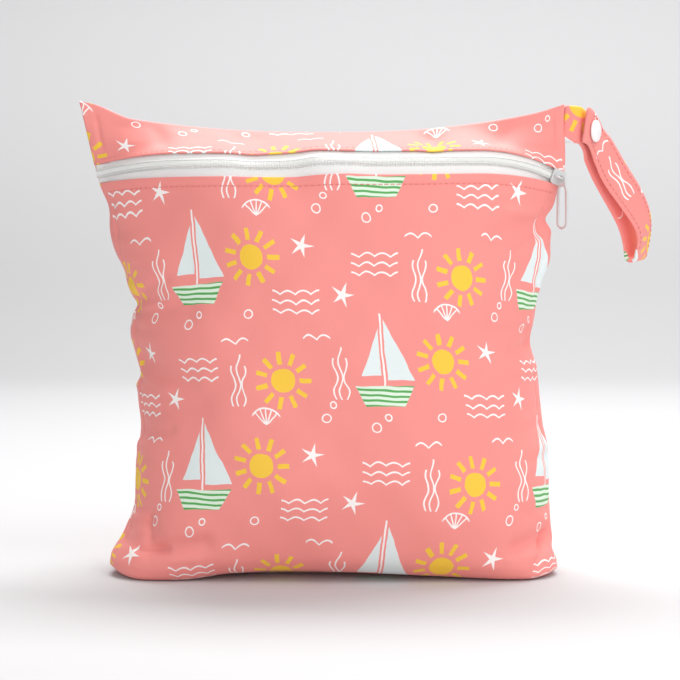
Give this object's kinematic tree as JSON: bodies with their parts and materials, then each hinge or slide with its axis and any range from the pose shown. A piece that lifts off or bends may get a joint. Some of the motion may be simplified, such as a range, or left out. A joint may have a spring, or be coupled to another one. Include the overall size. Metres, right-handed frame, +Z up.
{
  "type": "zip pouch",
  "caption": "Soft stuffed waterproof cloth pouch standing on its base, closed by a front zip with a hanging pull, with a folded wrist strap held by a snap at its right seam.",
  "frame": {"origin": "on the floor under the pouch, on the flat base", "axes": "+X to the right as the zip faces the viewer, +Y to the back, +Z up"},
  "size_m": [0.3253, 0.12, 0.2608],
  "materials": {
    "cloth": "soft printed laminated cloth",
    "zip_tape": "woven white tape",
    "zip_coil": "white coil",
    "zip_metal": "white enamel",
    "snap": "glossy white"
  },
  "bodies": {
    "pouch": {"front_panel": "cloth", "top_panel": "cloth", "back_panel": "cloth", "zip_tape_lower": "zip_tape", "zip_tape_upper": "zip_tape", "zip_coil": "zip_coil", "zip_slider": "zip_metal", "wrist_strap": "cloth", "snap_cap": "snap", "snap_back_cap": "snap", "snap_post": "snap"},
    "pull": {"zip_pull": "zip_metal"}
  },
  "joints": [
    {"name": "pull_swing", "type": "hinge", "parent": "pouch", "child": "pull", "pos_m": [0.12741, -0.00863, 0.2179], "axis": [-0.7494, -0.6621, 0], "range_deg": [-5, 150]}
  ]
}
